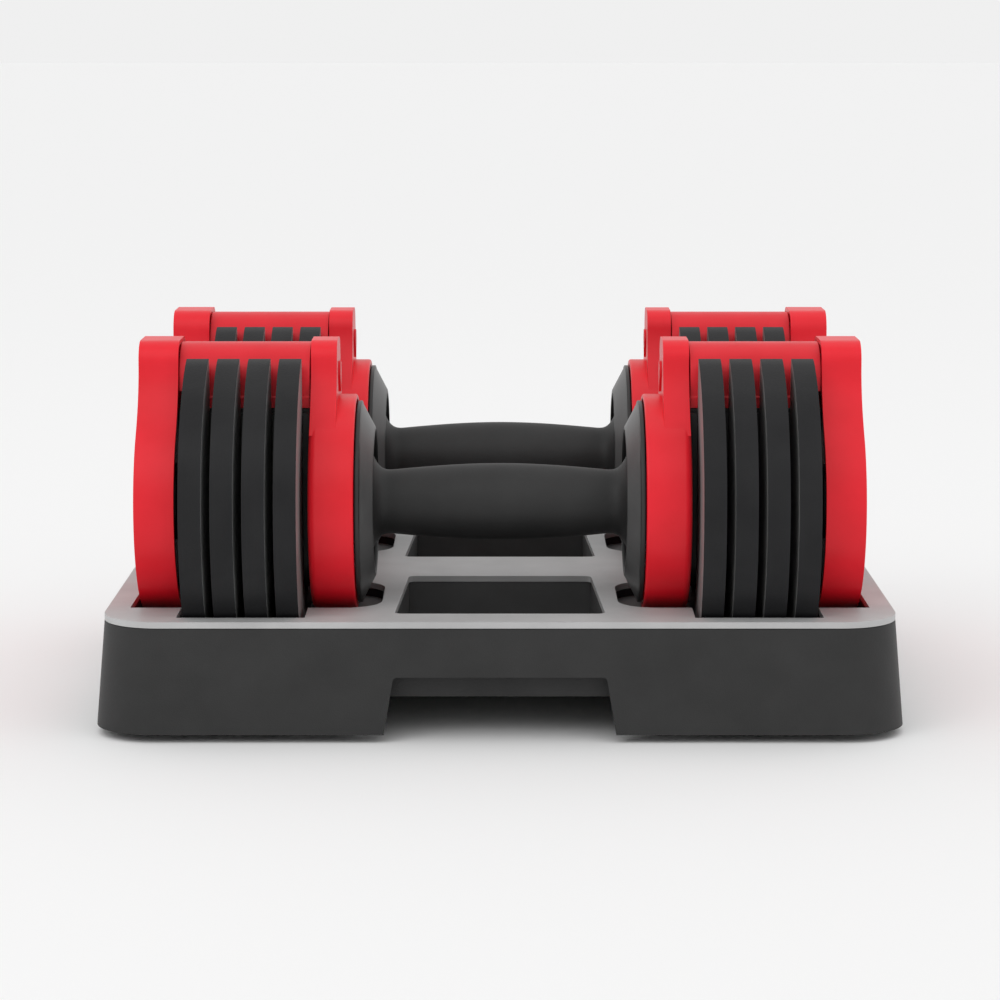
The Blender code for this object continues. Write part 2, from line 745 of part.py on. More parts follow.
def place(name, mesh, material, collection, parent=None, turn=0.0):
    """Object of its own name and material for a mesh, turned about X by an angle."""
    obj = bpy.data.objects.new(name, mesh)
    collection.objects.link(obj)
    obj.parent = parent
    obj.rotation_euler.x = turn
    if not mesh.materials:
        mesh.materials.append(None)
    obj.material_slots[0].link = "OBJECT"
    obj.material_slots[0].material = material
    mesh.shade_smooth()
    mesh.set_sharp_from_angle(angle=SMOOTH_ANGLE)
    return obj


def build_tray(collection):
    grey = new_material("deck_grey", DECK_GREY, 0.55)
    charcoal = new_material("skirt_charcoal", SKIRT_CHARCOAL, 0.6)
    place("tray_deck", deck_mesh(), grey, collection)
    place("tray_skirt", skirt_mesh(), charcoal, collection)
    foot = cone(FOOT_BOTTOM_R, FOOT_TOP_R, (0.0, FOOT_HEIGHT))
    for row_name, row in ROWS:
        for side_name, side in SIDES:
            rubber = new_material(f"foot_{row_name}_{side_name}_rubber", FOOT_BLACK, 0.8)
            obj = place(f"foot_{row_name}_{side_name}", foot.copy(), rubber, collection)
            obj.location = (side * FOOT_X, row * FOOT_Y, 0.0)


def piece_kinds():
    """Right-hand meshes that both ends have: name, mesh, colour, roughness, metallic, turns."""
    kinds = [
        ("inner_guard", guard_mesh(), RED, 0.4, 0.0, False),
        ("dished_ring", dish_mesh(), RING_GREY, 0.45, 0.0, False),
        ("plate_comb", comb_mesh(), BLACK, 0.55, 0.0, False),
        ("selector_drum", drum_mesh(), BLACK, 0.45, 0.0, True),
        ("top_cover", cover_mesh(), RED, 0.4, 0.0, False),
        ("outer_cap", cap_mesh(), RED, 0.35, 0.0, False),
        ("end_disc", disc_mesh(), IRON, 0.5, 0.6, False),
        ("lock_latch", latch_mesh(), BLACK, 0.5, 0.0, False),
    ]
    for index, x in enumerate(plate_centers()):
        kinds.append((f"plate_{index + 1}", plate_mesh(x), IRON, 0.5, 0.6, False))
    return kinds


def build_dumbbell(row_name, row, collection, middle_pieces, end_pieces):
    """One dumbbell around an empty on its shaft axis; the rear one is dialled to no plates."""
    axis = bpy.data.objects.new(f"{row_name}_axis", None)
    collection.objects.link(axis)
    axis.location = (0.0, row * ROW_Y, AXIS_Z)
    dialled = 0.0 if row_name == "front" else SETTING_STEP * PLATES
    for name, mesh, color, roughness, metallic, turns in middle_pieces:
        material = new_material(f"{row_name}_{name}_material", color, roughness, metallic)
        place(f"{row_name}_{name}", mesh, material, collection, axis, dialled if turns else 0.0)
    for name, right, left, color, roughness, metallic, turns in end_pieces:
        for side_name, mesh in (("left", left), ("right", right)):
            label = f"{row_name}_{side_name}_{name}"
            material = new_material(f"{label}_material", color, roughness, metallic)
            place(label, mesh, material, collection, axis, dialled if turns else 0.0)


def main():
    clear_scene()
    collection = new_collection("adjustable_dumbbell_pair")
    build_tray(collection)
    middle_pieces = [
        ("shaft", shaft_mesh(), STEEL, 0.35, 0.9, False),
        ("handle_core", core_mesh(), BLACK, 0.5, 0.0, True),
        ("rubber_grip", grip_mesh(), RUBBER_BLACK, 0.75, 0.0, True),
    ]
    end_pieces = []
    for name, right, color, roughness, metallic, turns in piece_kinds():
        end_pieces.append((name, right, mirrored(right), color, roughness, metallic, turns))
    for row_name, row in ROWS:
        build_dumbbell(row_name, row, collection, middle_pieces, end_pieces)


main()
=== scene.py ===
"""Looks of the adjustable dumbbell pair: fine surfaces, materials, studio and camera."""

import json
import math

import bmesh
import bpy
from mathutils import Matrix, Vector


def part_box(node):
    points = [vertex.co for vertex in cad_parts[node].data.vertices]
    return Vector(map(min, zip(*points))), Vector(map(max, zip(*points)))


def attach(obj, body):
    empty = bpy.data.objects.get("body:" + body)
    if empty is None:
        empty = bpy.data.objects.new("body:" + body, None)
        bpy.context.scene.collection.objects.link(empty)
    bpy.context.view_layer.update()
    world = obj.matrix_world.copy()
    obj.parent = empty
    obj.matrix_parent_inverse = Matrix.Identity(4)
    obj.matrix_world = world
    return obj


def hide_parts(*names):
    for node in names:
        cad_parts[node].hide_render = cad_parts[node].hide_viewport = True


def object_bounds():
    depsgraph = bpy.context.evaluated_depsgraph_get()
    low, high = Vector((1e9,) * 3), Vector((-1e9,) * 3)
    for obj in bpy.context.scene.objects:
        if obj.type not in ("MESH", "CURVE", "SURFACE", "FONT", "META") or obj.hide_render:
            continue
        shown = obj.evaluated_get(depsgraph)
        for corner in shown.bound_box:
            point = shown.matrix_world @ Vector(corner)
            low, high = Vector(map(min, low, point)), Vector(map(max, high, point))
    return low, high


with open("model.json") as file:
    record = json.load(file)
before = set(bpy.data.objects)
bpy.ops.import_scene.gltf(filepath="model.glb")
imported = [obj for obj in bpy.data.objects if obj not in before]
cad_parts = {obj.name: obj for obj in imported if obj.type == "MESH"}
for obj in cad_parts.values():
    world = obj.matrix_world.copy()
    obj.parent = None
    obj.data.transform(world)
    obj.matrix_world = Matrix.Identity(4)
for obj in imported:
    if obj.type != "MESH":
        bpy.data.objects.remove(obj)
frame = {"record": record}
cad_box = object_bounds()

RECORD = frame["record"]
JOINTS = {joint["name"]: joint for joint in RECORD["behaviour"]["joints"]}
ROWS = ("front", "rear")
AXES = {row: Vector(JOINTS[f"{row}_grip_twist"]["pos_m"]) for row in ROWS}
AXIS_Z = AXES["front"].z
ROW_Y = AXES["rear"].y
PLATES = 4
REAR_DIAL = math.radians(100.0)

SEGMENTS = 96
MEDIUM_SEGMENTS = 64
SMALL_SEGMENTS = 32
MERGE = 0.00001
GAP = 0.0003

FACING_X = Matrix(((0, 0, 1, 0), (1, 0, 0, 0), (0, 1, 0, 0), (0, 0, 0, 1)))
FACING_Y = Matrix(((1, 0, 0, 0), (0, 0, -1, 0), (0, 1, 0, 0), (0, 0, 0, 1)))
FACING_Z = Matrix.Identity(4)

SIDE_SHARE = 0.45
NECK_STEPS = 12
NECK_CORNER_STEPS = 8
HEAD_STEPS = 72
BEVEL_ANGLE = math.radians(40.0)
SHARP_ANGLE = math.radians(32.0)


# Mesh helpers

def temporary(data):
    obj = bpy.data.objects.new("temporary", data)
    bpy.context.scene.collection.objects.link(obj)
    return obj


def baked(obj, matrix=FACING_Z):
    """Welded mesh of the object as evaluated, moved by matrix. The object is used up."""
    bpy.context.view_layer.update()
    graph = bpy.context.evaluated_depsgraph_get()
    mesh = bpy.data.meshes.new_from_object(obj.evaluated_get(graph), depsgraph=graph)
    mesh.transform(matrix @ obj.matrix_world)
    shape = bmesh.new()
    shape.from_mesh(mesh)
    bmesh.ops.remove_doubles(shape, verts=shape.verts, dist=MERGE)
    shape.to_mesh(mesh)
    shape.free()
    bpy.data.objects.remove(obj, do_unlink=True)
    return mesh


def cut(base, tool):
    body = temporary(base)
    cutter = temporary(tool)
    modifier = body.modifiers.new("cut", "BOOLEAN")
    modifier.operation = "DIFFERENCE"
    modifier.solver = "EXACT"
    modifier.object = cutter
    result = baked(body)
    bpy.data.objects.remove(cutter, do_unlink=True)
    return result


def merged(meshes):
    shape = bmesh.new()
    for mesh in meshes:
        shape.from_mesh(mesh)
    result = bpy.data.meshes.new("group")
    shape.to_mesh(result)
    shape.free()
    return result


def moved(mesh, offset):
    copy = mesh.copy()
    copy.transform(Matrix.Translation(Vector(offset)))
    return copy


def mirrored(mesh):
    copy = mesh.copy()
    copy.transform(Matrix.Scale(-1.0, 4, (1.0, 0.0, 0.0)))
    copy.flip_normals()
    return copy


def arc(center, radius, start, end, steps):
    """Points of an arc, angles in degrees, both ends included."""
    points = []
    for step in range(steps + 1):
        angle = math.radians(start + (end - start) * step / steps)
        points.append((center[0] + radius * math.cos(angle), center[1] + radius * math.sin(angle)))
    return points


def circle(center, radius, steps):
    return arc(center, radius, 0.0, 360.0, steps)[:-1]


def curve_point(start, bend, end, t):
    """Point at t on the quadratic curve from start to end, pulled towards bend."""
    point = start * (1.0 - t) ** 2 + bend * 2.0 * t * (1.0 - t) + end * t ** 2
    return point.x, point.y


def rounded(loop, radius, steps=3):
    """Closed outline with each corner cut by a short curve, no longer than half its sides."""
    points = []
    count = len(loop)
    for index, here in enumerate(loop):
        here = Vector(here)
        before = Vector(loop[index - 1]) - here
        after = Vector(loop[(index + 1) % count]) - here
        reach = min(radius, before.length * SIDE_SHARE, after.length * SIDE_SHARE)
        start = here + before.normalized() * reach
        end = here + after.normalized() * reach
        points += [curve_point(start, here, end, step / steps) for step in range(steps + 1)]
    return points


def turned(profile, segments=SEGMENTS):
    """Ring turned about X from a closed (x, radius) loop: outside towards -X, inside back."""
    mesh = bpy.data.meshes.new("profile")
    edges = [(i, (i + 1) % len(profile)) for i in range(len(profile))]
    mesh.from_pydata([(radius, 0.0, x) for x, radius in profile], edges, [])
    obj = temporary(mesh)
    screw = obj.modifiers.new("turn", "SCREW")
    screw.axis = "Z"
    screw.steps = segments
    screw.render_steps = segments
    screw.use_merge_vertices = True
    screw.merge_threshold = MERGE
    return baked(obj, Matrix.Rotation(math.radians(90.0), 4, "Y"))


def extruded(outlines, start, end, facing):
    """Flat solid between two planes; any outline after the first is a hole."""
    curve = bpy.data.curves.new("outline", "CURVE")
    curve.dimensions = "2D"
    curve.fill_mode = "BOTH"
    curve.extrude = abs(end - start) / 2.0
    for outline in outlines:
        spline = curve.splines.new("POLY")
        spline.points.add(len(outline) - 1)
        for point, (u, v) in zip(spline.points, outline):
            point.co = (u, v, 0.0, 1.0)
        spline.use_cyclic_u = True
    obj = temporary(curve)
    obj.location.z = (start + end) / 2.0
    return baked(obj, facing)


def softened(mesh, width, segments=3):
    obj = temporary(mesh)
    bevel = obj.modifiers.new("soften", "BEVEL")
    bevel.width = width
    bevel.segments = segments
    bevel.limit_method = "ANGLE"
    bevel.angle_limit = BEVEL_ANGLE
    bevel.use_clamp_overlap = True
    return baked(obj)


def block(x, y, z):
    shape = bmesh.new()
    bmesh.ops.create_cube(shape, size=1.0)
    size = Vector((x[1] - x[0], y[1] - y[0], z[1] - z[0]))
    middle = Vector((x[0] + x[1], y[0] + y[1], z[0] + z[1])) / 2.0
    bmesh.ops.scale(shape, vec=size, verts=shape.verts)
    bmesh.ops.translate(shape, vec=middle, verts=shape.verts)
    mesh = bpy.data.meshes.new("block")
    shape.to_mesh(mesh)
    shape.free()
    return mesh


def keyhole(radius, half_neck, top, corner, from_chord=False):
    """Outline of a round head that narrows into a neck with rounded shoulders."""
    side = radius * math.sqrt(0.5)
    start = Vector((side, side))
    bend = Vector((half_neck, 2.0 * side - half_neck))
    end = Vector((half_neck, top - corner))
    right = [curve_point(start, bend, end, step / NECK_STEPS) for step in range(1, NECK_STEPS + 1)]
    right += arc((half_neck - corner, top - corner), corner, 0.0, 90.0, NECK_CORNER_STEPS)[1:]
    left = [(-u, v) for u, v in reversed(right)]
    if from_chord:
        return [(side, side)] + right + left + [(-side, side)]
    return arc((0.0, 0.0), radius, -225.0, 45.0, HEAD_STEPS) + right + left


# Materials

BROAD_SCALE = 38.0
TINT_BAND = (0.3, 0.7)
WORN_BAND = (0.52, 0.62)
WORN_GAIN = 1.9
WORN_LIFT = 0.03
COAT_ROUGHNESS = 0.2
SHINE_SPREAD = 0.07
RELIEF_DEPTH = 0.0002
LINE_SCALE = (900.0, 30.0, 30.0)


def grey(value):
    return (value, value, value)


def shader_of(material):
    return material.node_tree.nodes["Principled BSDF"]


def textured(name, dark, light, roughness, grain, bump, specular, coat=0.0, wear=0.0):
    """Surface with broad colour variation, fine grain in bump and roughness, and worn edges."""
    material = bpy.data.materials.new(name)
    material.use_nodes = True
    nodes = material.node_tree.nodes
    links = material.node_tree.links
    shader = shader_of(material)
    shader.inputs["Coat Weight"].default_value = coat
    shader.inputs["Coat Roughness"].default_value = COAT_ROUGHNESS
    shader.inputs["Specular IOR Level"].default_value = specular
    place = nodes.new("ShaderNodeTexCoord")

    broad = nodes.new("ShaderNodeTexNoise")
    broad.inputs["Scale"].default_value = BROAD_SCALE
    broad.inputs["Detail"].default_value = 5.0
    links.new(place.outputs["Object"], broad.inputs["Vector"])
    tint = nodes.new("ShaderNodeValToRGB")
    tint.color_ramp.elements[0].position = TINT_BAND[0]
    tint.color_ramp.elements[0].color = (*dark, 1.0)
    tint.color_ramp.elements[1].position = TINT_BAND[1]
    tint.color_ramp.elements[1].color = (*light, 1.0)
    links.new(broad.outputs["Fac"], tint.inputs["Fac"])

    geometry = nodes.new("ShaderNodeNewGeometry")
    edge = nodes.new("ShaderNodeMapRange")
    edge.inputs["From Min"].default_value = WORN_BAND[0]
    edge.inputs["From Max"].default_value = WORN_BAND[1]
    edge.inputs["To Max"].default_value = wear
    links.new(geometry.outputs["Pointiness"], edge.inputs["Value"])
    worn = nodes.new("ShaderNodeMix")
    worn.data_type = "RGBA"
    bare = [min(1.0, channel * WORN_GAIN + WORN_LIFT) for channel in light]
    worn.inputs["B"].default_value = (*bare, 1.0)
    links.new(edge.outputs["Result"], worn.inputs["Factor"])
    links.new(tint.outputs["Color"], worn.inputs["A"])
    links.new(worn.outputs["Result"], shader.inputs["Base Color"])

    fine = nodes.new("ShaderNodeTexNoise")
    fine.inputs["Scale"].default_value = grain
    fine.inputs["Detail"].default_value = 3.0
    links.new(place.outputs["Object"], fine.inputs["Vector"])
    shine = nodes.new("ShaderNodeMapRange")
    shine.inputs["To Min"].default_value = roughness - SHINE_SPREAD
    shine.inputs["To Max"].default_value = roughness + SHINE_SPREAD
    links.new(fine.outputs["Fac"], shine.inputs["Value"])
    links.new(shine.outputs["Result"], shader.inputs["Roughness"])
    relief = nodes.new("ShaderNodeBump")
    relief.inputs["Strength"].default_value = bump
    relief.inputs["Distance"].default_value = RELIEF_DEPTH
    links.new(fine.outputs["Fac"], relief.inputs["Height"])
    links.new(relief.outputs["Normal"], shader.inputs["Normal"])
    return material


def brushed(name, color, roughness, metallic=1.0):
    """Turned metal, with fine lines round the X axis."""
    material = bpy.data.materials.new(name)
    material.use_nodes = True
    nodes = material.node_tree.nodes
    links = material.node_tree.links
    shader = shader_of(material)
    shader.inputs["Metallic"].default_value = metallic
    place = nodes.new("ShaderNodeTexCoord")
    stretch = nodes.new("ShaderNodeMapping")
    stretch.inputs["Scale"].default_value = LINE_SCALE
    links.new(place.outputs["Object"], stretch.inputs["Vector"])
    lines = nodes.new("ShaderNodeTexNoise")
    lines.inputs["Scale"].default_value = 1.0
    lines.inputs["Detail"].default_value = 4.0
    links.new(stretch.outputs["Vector"], lines.inputs["Vector"])
    tone = nodes.new("ShaderNodeValToRGB")
    tone.color_ramp.elements[0].color = (*[channel * 0.75 for channel in color], 1.0)
    tone.color_ramp.elements[1].color = (*color, 1.0)
    links.new(lines.outputs["Fac"], tone.inputs["Fac"])
    links.new(tone.outputs["Color"], shader.inputs["Base Color"])
    shine = nodes.new("ShaderNodeMapRange")
    shine.inputs["To Min"].default_value = roughness * 0.7
    shine.inputs["To Max"].default_value = roughness * 1.3
    links.new(lines.outputs["Fac"], shine.inputs["Value"])
    links.new(shine.outputs["Result"], shader.inputs["Roughness"])
    return material


RED = textured("red_plastic", (0.74, 0.006, 0.016), (0.82, 0.010, 0.024), 0.38, 1500.0, 0.10,
               coat=0.04, wear=0.06, specular=0.30)
# Darker copy of the red plastic: painted shade for the inward faces inside each cap.
RED_PAINTED_SHADE = textured("red_painted_shade_plastic", (0.42, 0.004, 0.010), (0.48, 0.006, 0.014), 0.50, 1500.0,
                    0.12, specular=0.25)
RED_COVER = textured("red_cover_plastic", (0.68, 0.008, 0.018), (0.74, 0.012, 0.026), 0.40, 1500.0,
                     0.12, coat=0.03, wear=0.06, specular=0.28)
BLACK = textured("black_plastic", grey(0.010), grey(0.016), 0.46, 1700.0, 0.18, wear=0.25,
                 specular=0.30)
CORE = textured("core_plastic", grey(0.012), grey(0.020), 0.40, 1700.0, 0.12, wear=0.2,
                specular=0.35)
RUBBER = textured("grip_rubber", grey(0.012), grey(0.020), 0.58, 2200.0, 0.35, wear=0.12,
                  specular=0.40)
FOOT_RUBBER = textured("foot_rubber", grey(0.010), grey(0.016), 0.75, 1800.0, 0.4, specular=0.30)
IRON = textured("coated_iron", (0.006, 0.006, 0.007), (0.012, 0.012, 0.013), 0.46, 900.0, 0.40,
                wear=0.30, specular=0.24)
IRON_FACE = textured("coated_iron_face", grey(0.19), grey(0.25), 0.48, 900.0, 0.32, specular=0.40)
DECK = textured("deck_plastic", grey(0.42), grey(0.49), 0.52, 1400.0, 0.22, specular=0.40)
SKIRT = textured("skirt_plastic", grey(0.018), grey(0.025), 0.55, 1300.0, 0.30, specular=0.35)
PAD = textured("pad_plastic", grey(0.085), grey(0.115), 0.60, 1300.0, 0.25, specular=0.35)
# Lighter copy of the pad plastic: painted light on the groove floors, which sit deep in shade.
CRADLE_PAINTED_LIGHT = textured("cradle_painted_light_plastic", grey(0.11), grey(0.14), 0.60, 1300.0, 0.25, specular=0.35)
# Lighter copy of the skirt plastic: painted light inside the centre wells, which lie in shade.
WELL_PAINTED_LIGHT = textured("well_painted_light_plastic", grey(0.072), grey(0.088), 0.60, 1300.0, 0.25,
                        specular=0.35)
RING_RIM = textured("ring_rim", grey(0.016), grey(0.024), 0.38, 1500.0, 0.12, wear=0.2,
                    specular=0.35)
RING_CONE = textured("ring_cone", grey(0.070), grey(0.095), 0.38, 1500.0, 0.12, wear=0.1,
                     specular=0.40)
STEEL = brushed("black_steel", (0.060, 0.060, 0.062), 0.38, 0.9)
CHROME = brushed("bright_steel", (0.72, 0.72, 0.74), 0.14)


# Placing

def piece(name, mesh, materials, body, node=None, location=(0.0, 0.0, 0.0)):
    obj = bpy.data.objects.new(name, mesh)
    bpy.context.scene.collection.objects.link(obj)
    obj.location = location
    for material in materials:
        mesh.materials.append(material)
    mesh.shade_smooth()
    mesh.set_sharp_from_angle(angle=SHARP_ANGLE)
    weigh = obj.modifiers.new("weigh", "WEIGHTED_NORMAL")
    weigh.keep_sharp = True
    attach(obj, body)
    if node:
        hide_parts(node)


def dialled(row, mesh):
    """Copy of a turning piece as its dumbbell is set: the rear one is set to no plates."""
    copy = mesh.copy()
    if row == "rear":
        copy.transform(Matrix.Rotation(REAR_DIAL, 4, "X"))
    return copy


def at_both_ends(label, right, materials, body_of, stands_for=None, turns=False):
    """A right-hand mesh and its mirror image on both dumbbells, in place of the named nodes."""
    left = mirrored(right)
    for row in ROWS:
        for side, mesh in (("left", left), ("right", right)):
            node = f"{row}_{side}_{stands_for}" if stands_for else None
            copy = dialled(row, mesh) if turns else mesh.copy()
            piece(f"{row}_{side}_{label}", copy, materials, body_of(row, side), node,
                  AXES[row])


def frame_body(row, side):
    return f"{row}_dumbbell"


def plate_body(row, side):
    return "front_dumbbell" if row == "front" else "tray"


def selector_body(row, side):
    return f"{row}_selector"


def latch_body(row, side):
    return f"{row}_{side}_latch"


def span(node):
    """Low and high corner of a front node, measured from the front shaft's centre."""
    low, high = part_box(node)
    return low - AXES["front"], high - AXES["front"]


def paint(mesh, choose):
    """Sets each face's material index from its centre and normal."""
    for face in mesh.polygons:
        face.material_index = choose(face.center, face.normal)


# Weight plates

PLATE_BEVEL = 0.0022
SLOT_HALF = 0.021
SLOT_BOTTOM = -0.045
TAB_REACH = 0.012
TAB_Z = (0.0105, 0.0165)
MOUTH_ARC = 0.006
MOUTH_FLARE = 0.0012
MOUTH_Z = (0.0008, 0.005)
FLAT = 0.98


def plate_outline(radius):
    """Disc with a deep slot open at the top, its mouth rounded, and a lifting tab inside."""
    mouth = math.degrees(math.acos(SLOT_HALF / radius))
    lip = math.degrees(MOUTH_ARC / radius)
    edge = radius * math.sin(math.radians(mouth))
    around = arc((0.0, 0.0), radius, mouth - lip, mouth - 360.0 + 2.0 * (90.0 - mouth) + lip, 120)
    mouth_right = [(SLOT_HALF, edge - MOUTH_Z[1]), (SLOT_HALF + MOUTH_FLARE, edge - MOUTH_Z[0])]
    mouth_left = [(-u, v) for u, v in reversed(mouth_right)]
    bottom = SLOT_BOTTOM + SLOT_HALF
    slot = arc((0.0, bottom), SLOT_HALF, 180.0, 360.0, 32)
    low, high = TAB_Z
    tab = [(SLOT_HALF, low), (TAB_REACH, low), (TAB_REACH, high), (SLOT_HALF, high)]
    return around + mouth_left + slot + tab + mouth_right


def build_plates():
    for index in range(1, PLATES + 1):
        low, high = span(f"front_right_plate_{index}")
        plate = softened(extruded([plate_outline(-low.z)], low.x, high.x, FACING_X), PLATE_BEVEL, 4)
        paint(plate, lambda center, normal: 1 if abs(normal.x) > FLAT else 0)
        at_both_ends(f"plate_{index}_fine", plate, (IRON, IRON_FACE), plate_body,
                     f"plate_{index}")


# Guards, rings and caps

LATCH_BACK = 0.076
LUG_THICK = 0.0128


def build_guards():
    """Red cup with a thick neck and rounded head, and the dished ring in its mouth."""
    low, high = span("front_right_inner_guard")
    radius = -low.z
    wall = 0.003
    hole = 0.0242
    start, end = low.x, high.x
    loop = [(end, radius), (start, radius), (start, radius - wall), (end - wall, radius - wall),
            (end - wall, hole), (end, hole)]
    latch_low, latch_high = span("front_right_lock_latch")
    margin = 2.0 * GAP
    opening = block((latch_low.x - margin, LATCH_BACK + margin),
                    (latch_low.y - margin, latch_high.y + margin),
                    (-radius - wall, 2.0 * wall - radius))
    cup = cut(turned(rounded(loop, 0.0035, 4)), opening)
    neck = keyhole(radius - GAP, 0.017, high.z, 0.009, from_chord=True)
    lug = softened(extruded([neck], end - LUG_THICK, end - GAP, FACING_X), 0.0045, 5)
    guard = merged([cup, lug])
    at_both_ends("guard_fine", guard, (RED,), frame_body, "inner_guard")

    low, high = span("front_right_dished_ring")
    rim, hole, wall = high.z, 0.0345, 0.0022
    loop = [(high.x, rim), (high.x - wall, rim), (high.x - wall, rim - 0.0012),
            (low.x, hole + 0.0016), (low.x, hole), (low.x + wall, hole), (high.x, rim - 0.003)]
    ring = turned(rounded(loop, 0.0006, 2))
    cone = (hole + 0.002, rim - 0.0022)
    paint(ring, lambda center, normal:
          1 if cone[0] < math.hypot(center.y, center.z) < cone[1] else 0)
    at_both_ends("ring_fine", ring, (RING_RIM, RING_CONE), frame_body, "dished_ring")


def build_caps():
    """Keyhole shell with a soft outer edge, a sunk face with raised rings, and an arm."""
    low, high = span("front_right_outer_cap")
    radius = -low.z
    wall, relief = 0.0022, 0.0005
    start, end = 0.154, high.x
    half_neck, corner = 0.020, 0.010
    face = end - relief
    outline = keyhole(radius, half_neck, high.z, corner)
    shell = softened(extruded([outline], start, face, FACING_X), 0.0035, 5)
    hollow = keyhole(radius - wall, half_neck - wall, high.z - wall, corner - wall)
    shell = cut(shell, extruded([hollow], start - wall, face - wall, FACING_X))
    rings = []
    for middle in (0.020, 0.040):
        loop = [(end, middle + 0.0012), (face - wall / 2.0, middle + 0.0024),
                (face - wall / 2.0, middle - 0.0024), (end, middle - 0.0012)]
        rings.append(turned(rounded(loop, 0.0003, 2)))
        inner = [(face - wall + GAP, middle + 0.0018), (face - wall - 0.0008, middle + 0.0012),
                 (face - wall - 0.0008, middle - 0.0012), (face - wall + GAP, middle - 0.0018)]
        rings.append(turned(inner))
    tip, step, root = low.x, low.x + 0.013, face - wall / 2.0
    arm = [(root, 0.062), (root, 0.072), (step, 0.072), (step, 0.070), (tip, 0.070),
           (tip, 0.0645), (step, 0.0645), (step, 0.062)]
    arm = softened(extruded([arm], -0.006, 0.006, FACING_Y), 0.0012, 3)
    cap = merged([shell, arm] + rings)
    # The inward faces behind the sunk face take the darker red as painted shade.
    paint(cap, lambda center, normal: 1 if normal.x < -0.9 and center.x > face - 2.0 * wall else 0)
    at_both_ends("cap_fine", cap, (RED, RED_PAINTED_SHADE), frame_body,
                 "outer_cap")


def arch(half_y, shoulder, top):
    radius = top - shoulder
    return arc((half_y - radius, shoulder), radius, 0.0, 90.0, 16) + \
        arc((radius - half_y, shoulder), radius, 90.0, 180.0, 16)


def build_covers():
    """Arched cover with a lip along each lower edge and a stepped outboard corner."""
    low, high = span("front_right_top_cover")
    wall, inset = 0.0025, 0.0008
    half, top, bottom, shoulder = high.y, high.z, low.z, 0.060
    lip = bottom + 0.005
    outside = [(half, bottom), (half, lip), (half - inset, lip + inset)]
    outside += arch(half - inset, shoulder, top)
    outside += [(inset - half, lip + inset), (-half, lip), (-half, bottom)]
    inside = arch(half - wall, shoulder, top - wall)
    outline = outside + [(wall - half, bottom)] + inside[::-1] + [(half - wall, bottom)]
    cover = extruded([outline], low.x, high.x, FACING_X)
    step = block((high.x - 0.006, high.x + 0.01), (-2.0 * half, 2.0 * half),
                 (bottom - 0.01, bottom + 0.008))
    cover = softened(cut(cover, step), 0.0005, 2)
    at_both_ends("cover_fine", cover, (RED_COVER,), frame_body, "top_cover")


# Handle

GRIP_STATIONS = 60
GRIP_MIDDLE_R = 0.0187
GRIP_WAIST_R = 0.0156
TRUMPET = 0.012


def grip_radius(x, end, flange, middle, waist):
    """Barrel-shaped middle that runs out into a trumpet flange."""
    swell = (middle - waist) * math.cos(math.pi * min(x / (end - TRUMPET), 1.0) / 2.0)
    flare = max(x - (end - TRUMPET), 0.0) / TRUMPET
    return waist + swell + (flange - waist) * flare ** 3


def build_handles():
    """Grip and core, each one ring about the shaft, the core notched at both collars."""
    _, high = span("front_rubber_grip")
    end, flange = high.x, 0.033
    half = [(end, 0.0150), (end, flange - 0.0008), (end - 0.0004, flange), (end - 0.0010, flange)]
    for step in range(3, GRIP_STATIONS):
        x = end * math.sin(math.pi / 2.0 * (GRIP_STATIONS - step) / GRIP_STATIONS)
        half.append((x, grip_radius(x, end - 0.0012, flange - 0.0006, GRIP_MIDDLE_R, GRIP_WAIST_R)))
    outside = half + [(0.0, GRIP_MIDDLE_R)] + [(-x, radius) for x, radius in reversed(half)]
    inside = [(-end, 0.0139), (0.0, 0.0153), (end, 0.0139)]
    grip = turned(outside + inside)

    _, high = span("front_handle_core")
    end = high.x
    collar, socket, bore = 0.01975, 0.0119, 0.0069
    half = [(end, collar - 0.0018), (end - 0.0018, collar), (0.0785, collar),
            (0.0780, collar - 0.0006), (0.0765, collar - 0.0006), (0.0760, collar),
            (0.0700, collar), (0.0695, collar + 0.0006), (0.0695, 0.0310), (0.0691, 0.0314),
            (0.0669, 0.0314), (0.0665, 0.0310), (0.0665, 0.0136)]
    outside = half + [(0.0, 0.0150)] + [(-x, radius) for x, radius in reversed(half)]
    seat = 0.0702
    inside = [(-end, socket), (-seat, socket), (-seat, bore), (seat, bore), (seat, socket),
              (end, socket)]
    core = turned(outside + inside)
    notches = []
    for index in range(PLATES):
        notch = block((end - 0.006, end + 0.001), (-0.003, 0.003), (0.0145, 0.021))
        notch.transform(Matrix.Rotation(math.pi / 2.0 * index, 4, "X"))
        notches += [notch, mirrored(notch)]
    core = cut(core, merged(notches))
    for row in ROWS:
        body = f"{row}_selector"
        piece(f"{row}_grip_fine", dialled(row, grip), (RUBBER,), body,
              f"{row}_rubber_grip", AXES[row])
        piece(f"{row}_core_fine", dialled(row, core), (CORE,), body,
              f"{row}_handle_core", AXES[row])


# Tray

SADDLE_CORNER = 0.018
SADDLE_HALF_Y = 0.036
POCKET_HALF_Y = 0.062
SADDLE_START = 0.057
POCKET_X = (0.092, 0.1525)
BAY_END = 0.177
END_RECESS_X = 0.1665
END_RECESS_Z = 0.040
WELL_FRONT_HALF_X = 0.050
WELL_REAR_HALF_X = 0.046
WELL_HALF_Y = 0.0515
SADDLE_Z = 0.0501
OUTER_Z = 0.0496
WELL_Z = 0.020
DIVIDER_Z = 0.047
CRADLE_R = 0.0772
CRADLE_GAP = 0.00055
SKIRT_WALL = 0.003
HOUSING_WALL = 0.0025
BOSS_R = 0.009
PANEL_Y = (-0.146, -0.143)
PANEL_HALF_X = 0.0545
OVERLAP = 0.0005
FRONT_CORNER_R = 0.028
REAR_CORNER_R = 0.064


